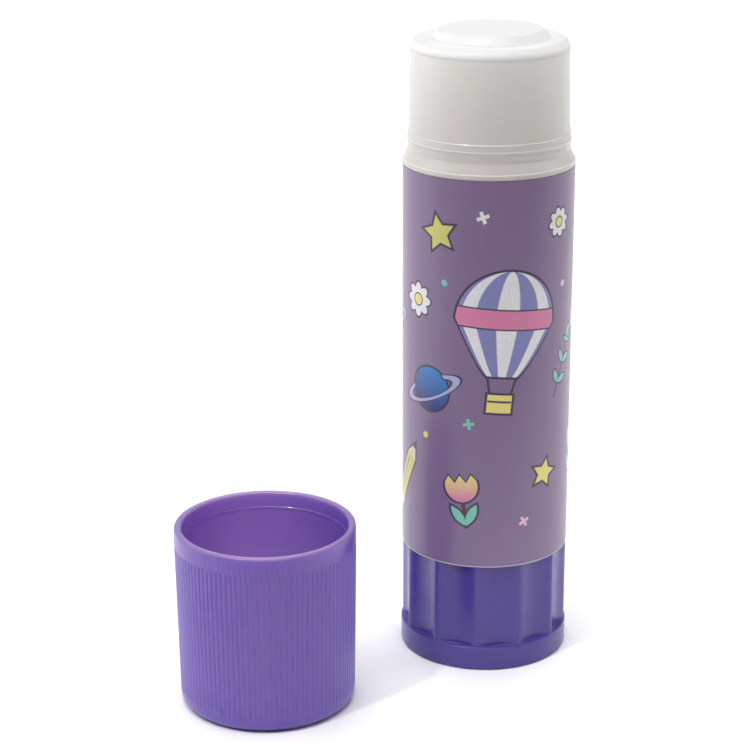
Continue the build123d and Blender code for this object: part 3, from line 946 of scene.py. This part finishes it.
# %% Finish the film
PLASTIC_IOR = 1.49
SPECKLE, WAVES = 0.22, 6.0
speckle = object_noise(label_tree, SPECKLE, 1.0).math("MULTIPLY_ADD", 0.34, -0.09, clamp=True)
inked = mixed(label_tree, speckle, printed, ink(120, 104, 134))
label_tree.links.new(inked, label_shader.inputs["Base Color"])
uneven_gloss(label_tree, label_shader, 0.36, 0.05, 4.0)
label_shader.inputs["Coat Weight"].default_value = 0.3
label_shader.inputs["Coat Roughness"].default_value = 0.22
label_shader.inputs["IOR"].default_value = PLASTIC_IOR
skin_bump(label_tree, label_shader, [(WAVES, 0.03), (0.3, 0.0012)])
dress(label, label_material)
print("the film's speckle is", SPECKLE, "mm and its waves", WAVES, "mm")

# %% [markdown]
# All the moulded pieces are polypropylene. It is never quite opaque: light that enters a thin wall
# spreads inside and comes out nearby, which softens its shading and brightens thin edges. That is
# subsurface scattering, with a depth of a millimetre or so. Pigment flows a little unevenly through
# the mould, and the mould's fine eroded texture makes the gloss satin.

# %% Moulded plastic
def moulded_plastic(name, colour, streak_colour, scatter, depth, roughness, layers, polish=0.0):
    """Pigmented polypropylene: two close shades in slow swirls, scattered light and a satin skin."""
    material, tree, shader = fresh_material(name)
    swirl = object_noise(tree, 9.0, 4.0, 0.6).math("MULTIPLY_ADD", 2.2, -0.6, clamp=True)
    feed(tree, shader.inputs["Base Color"], mixed(tree, swirl, colour, streak_colour))
    shader.inputs["Subsurface Weight"].default_value = scatter
    shader.inputs["Subsurface Radius"].default_value = depth
    shader.inputs["Subsurface Scale"].default_value = MM
    shader.inputs["IOR"].default_value = PLASTIC_IOR
    shader.inputs["Coat Weight"].default_value = polish
    shader.inputs["Coat Roughness"].default_value = 0.10
    uneven_gloss(tree, shader, roughness, 0.04, 2.5)
    skin_bump(tree, shader, layers)
    return material


# %% Mix the four plastics
cap_plastic = moulded_plastic(
    "cap_violet", ink(101, 77, 168), ink(97, 73, 164), scatter=1.0, depth=(5.3, 4.3, 4.6),
    roughness=0.40, layers=[(5.0, 0.012), (0.16, 0.0012)], polish=0.35)
base_plastic = moulded_plastic(
    "base_violet", ink(81, 66, 151), ink(77, 63, 147), scatter=0.3, depth=(0.5, 0.4, 1.0),
    roughness=0.24, layers=[(4.0, 0.010), (0.16, 0.0008)])
natural_plastic = moulded_plastic(
    "natural_white", ink(244, 241, 237), ink(241, 238, 233), scatter=0.75, depth=(0.55, 0.48, 0.42),
    roughness=0.34, layers=[(6.0, 0.012), (0.14, 0.0008)], polish=0.35)
lid_plastic = moulded_plastic(
    "lid_white", ink(251, 249, 246), ink(248, 246, 242), scatter=0.45, depth=(0.35, 0.34, 0.32),
    roughness=0.42, layers=[(5.0, 0.010), (0.14, 0.0010)])
plastics = ((cap, cap_plastic), (base, base_plastic), (barrel, natural_plastic), (inner_lid, lid_plastic))
for piece, plastic in plastics:
    dress(piece, plastic)
print("plastics:", [plastic.name for piece, plastic in plastics])

# %% [markdown]
# Uncoloured plastic lets a little light through. The barrel's colour is mixed by height with a greyer
# shade, as painted shade: the top of the neck, backed by the white lid's plug, stays whiter, and towards
# the shoulder the wall is greyed.

# %% Paint shade on the neck by height
NECK_FADE = 15.0


def object_axis(tree, axis):
    """Place along one axis of the object, in metres."""
    place = tree.nodes.new("ShaderNodeTexCoord")
    split = tree.nodes.new("ShaderNodeSeparateXYZ")
    tree.links.new(place.outputs["Object"], split.inputs[0])
    return Amount(tree, split.outputs[axis])


def tint(material, share, colour):
    """Mix a share of another colour into a material's own."""
    shader = material.node_tree.nodes["Principled BSDF"]
    own = shader.inputs["Base Color"].links[0].from_socket
    feed(material.node_tree, shader.inputs["Base Color"], mixed(material.node_tree, share, own, colour))


neck_height = object_axis(natural_plastic.node_tree, "Z")
from_top = neck_height * (-1 / (NECK_FADE * MM)) + barrel_high.z / NECK_FADE
# Painted shade: the neck's colour turns greyer below its top, for light and not for any real tint.
painted_neck_shade = from_top.math("POWER", 0.7, clamp=True) * 0.85
tint(natural_plastic, painted_neck_shade, ink(207, 202, 198))
print("the neck is shaded over", NECK_FADE, "mm")

# %% [markdown]
# The lid's colour carries painted shade: where a point faces up it is greyed, so that the thick edge
# looks whiter than the top, as the light falls. Its points already carry the way they face. The cap's lip
# is thin, and it carries painted light: near the mouth its violet is duller and a little paler than the
# wall's.

# %% Paint shade on the lid's top and light on the cap's lip
LIP_FADE = 0.9
facing = lid_plastic.node_tree.nodes.new("ShaderNodeAttribute")
facing.attribute_name = "facing_up"
# Painted shade: the lid's colour is greyed where it faces up, for how the light falls on its top.
painted_lid_shade = smooth_range(Amount(lid_plastic.node_tree, facing.outputs["Fac"]), 0.3, 0.95)
tint(lid_plastic, painted_lid_shade, ink(195, 195, 196))

cap_place = object_axis(cap_plastic.node_tree, "Z")
# Painted light: the cap's colour turns duller and a little paler near the mouth, for how light falls on
# its thin lip.
painted_lip_light = smooth_range(cap_place, (cap_high.z - LIP_FADE) * MM, cap_high.z * MM)
tint(cap_plastic, painted_lip_light, ink(106, 84, 142))
print("the cap's lip is shaded over", LIP_FADE, "mm")

# %% [markdown]
# The glue is a soft wax-like soap gel. It scatters light deeper than the plastic does, its skin is
# duller, and it has the faint flow lines and pits of casting.

# %% Glue
glue_material, glue_tree, glue_shader = fresh_material("cast_glue")
cloud = object_noise(glue_tree, 3.0, 5.0, 0.65).math("MULTIPLY_ADD", 1.8, -0.4, clamp=True)
clouded = mixed(glue_tree, cloud, ink(240, 239, 231), ink(233, 231, 220))
feed(glue_tree, glue_shader.inputs["Base Color"], clouded)
glue_shader.inputs["Subsurface Weight"].default_value = 0.9
glue_shader.inputs["Subsurface Radius"].default_value = (3.0, 2.8, 2.3)
glue_shader.inputs["Subsurface Scale"].default_value = MM
glue_shader.inputs["IOR"].default_value = 1.44
uneven_gloss(glue_tree, glue_shader, 0.46, 0.08, 1.5)
skin_bump(glue_tree, glue_shader, [(2.5, 0.03), (0.4, 0.006)])
dress(glue, glue_material)
print("the glue scatters light", glue_shader.inputs["Subsurface Radius"].default_value[0], "mm deep")

# %% [markdown]
# The screw and the carrier are seldom seen, but they show from below and when the glue is wound up.
# Their CAD shapes are right, so they only get an uncoloured plastic, a little greyer than the barrel's.

# %% Finish the inner mechanism
mechanism_plastic = moulded_plastic(
    "mechanism_white", ink(228, 226, 220), ink(224, 221, 214), scatter=0.6, depth=(1.5, 1.4, 1.2),
    roughness=0.38, layers=[(4.0, 0.010), (0.14, 0.0010)])
for node in ("lead_screw", "carrier"):
    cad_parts[node].material_slots[0].material = mechanism_plastic
print("screw and carrier are in", mechanism_plastic.name)

# %% [markdown]
# The stage is a wide pale table top. It is one subdivided sheet with a very slight mottle, so that it
# isn't a dead flat white. Towards the front it carries painted shade: its colour turns grey, standing in
# for the light that falls off beyond a studio's white paper, and round glossy things show that as a
# darker middle.

# %% Lay the table top
bpy.ops.object.select_all(action="DESELECT")
bpy.ops.mesh.primitive_grid_add(x_subdivisions=8, y_subdivisions=8, size=5.0, location=(0, 1.0, 0))
table = bpy.context.object
table.name = "table_top"
bpy.ops.object.transform_apply(location=True)
table_material, table_tree, table_shader = fresh_material("pale_table")
mottle = object_noise(table_tree, 30.0, 3.0)
mottled = mixed(table_tree, mottle, ink(248, 248, 248), ink(252, 252, 252))
feed(table_tree, table_shader.inputs["Base Color"], mottled)
SHADE_FROM, SHADE_TO = 0.036, 0.11
# Painted shade: the table's colour turns grey in front of the stick, for the light that falls off there.
painted_front_shade = smooth_range(object_axis(table_tree, "Y") * -1.0, SHADE_FROM, SHADE_TO)
tint(table_material, painted_front_shade, ink(152, 152, 154))
table_shader.inputs["Roughness"].default_value = 0.8
dress(table, table_material)
print("the table turns grey from", SHADE_FROM, "to", SHADE_TO, "m in front of the stick's axis")

# %% [markdown]
# The light is that of a white photo tent: bright above, behind and at the sides, and darker on the
# camera's side. The world is a smooth gradient between those levels.

# %% Set up the soft tent
SIDE_LEVEL, FRONT_LEVEL, TOP_LEVEL = 0.60, 0.05, 0.74
world = bpy.data.worlds.new("photo_tent")
bpy.context.scene.world = world
world.use_nodes = True
sky = world.node_tree
direction = sky.nodes.new("ShaderNodeTexCoord")
parts = sky.nodes.new("ShaderNodeSeparateXYZ")
sky.links.new(direction.outputs["Generated"], parts.inputs[0])
backward, upward = Amount(sky, parts.outputs["Y"]), Amount(sky, parts.outputs["Z"])
around = smooth_range(backward, -0.60, 0.20) * (SIDE_LEVEL - FRONT_LEVEL) + FRONT_LEVEL
level = around.most(smooth_range(upward, 0.45, 0.85) * TOP_LEVEL)
background = sky.nodes["Background"]
background.inputs["Color"].default_value = (1.0, 1.0, 1.0, 1.0)
feed(sky, background.inputs["Strength"], level)
print("the tent's levels:", SIDE_LEVEL, "at the sides,", FRONT_LEVEL, "in front,", TOP_LEVEL, "above")

# %% [markdown]
# A large panel hangs above and gives most of the light. A smaller one above the camera reaches into
# the cap, and one at the back keeps the table bright up to the horizon. Two panels at the sides, the
# left one stronger, draw the soft upright bands on the round walls. A small lamp over the
# photographer's left shoulder makes the tiny glints on the neck ring and on the bead in the cap.

# %% Place the lamps
def aim(position, target):
    """Rotation that points a lamp or a camera from one place at another."""
    return (Vector(target) - Vector(position)).to_track_quat("-Z", "Y").to_euler()


def panel(name, position, target, width, height, power):
    """Rectangular area lamp."""
    bpy.ops.object.light_add(type="AREA", location=position, rotation=aim(position, target))
    lamp = bpy.context.object
    lamp.name = name
    lamp.data.shape = "RECTANGLE"
    lamp.data.size, lamp.data.size_y = width, height
    lamp.data.energy = power
    return lamp


STICK_MIDDLE = (0, 0, 0.05)
panel("top_panel", (-0.02, 0.0, 0.60), STICK_MIDDLE, width=0.60, height=0.45, power=2.1)
panel("upper_front_panel", (-0.05, -0.30, 0.62), STICK_MIDDLE, width=0.40, height=0.20, power=0.60)
panel("back_panel", (0.0, 1.0, 0.9), (0, 0.8, 0), width=1.6, height=0.8, power=5.0)
panel("left_panel", (-0.62, -0.10, 0.34), STICK_MIDDLE, width=0.30, height=0.55, power=0.48)
panel("right_panel", (0.66, -0.02, 0.30), STICK_MIDDLE, width=0.25, height=0.50, power=0.27)
lamp_turn, lamp_rise, LAMP_FAR = math.radians(-136), math.radians(55), 0.8
lamp_place = Vector((
    math.cos(lamp_rise) * math.cos(lamp_turn), math.cos(lamp_rise) * math.sin(lamp_turn),
    math.sin(lamp_rise))) * LAMP_FAR
panel("glint_lamp", lamp_place, STICK_MIDDLE, width=0.04, height=0.04, power=1.4)

# %% [markdown]
# The camera looks down at 18.7 degrees through a longish lens. Its place was worked out from the
# edges of the stick and the cap.

# %% Place the camera
PITCH, ROLL = math.radians(18.657), math.radians(-0.212)
bpy.ops.object.camera_add(location=(-0.01526, -0.28455, 0.13530))
camera = bpy.context.object
tilt_down = Matrix.Rotation(math.pi / 2 - PITCH, 3, "X")
camera.rotation_euler = (tilt_down @ Matrix.Rotation(ROLL, 3, "Z")).to_euler()
camera.data.lens = 104.89
camera.data.sensor_width = 36.0
camera.data.clip_start = 0.01
bpy.context.scene.camera = camera
bpy.context.scene.view_settings.view_transform = "Standard"
bpy.context.scene.view_settings.look = "None"
print("the camera's lens is", round(camera.data.lens, 1), "mm")
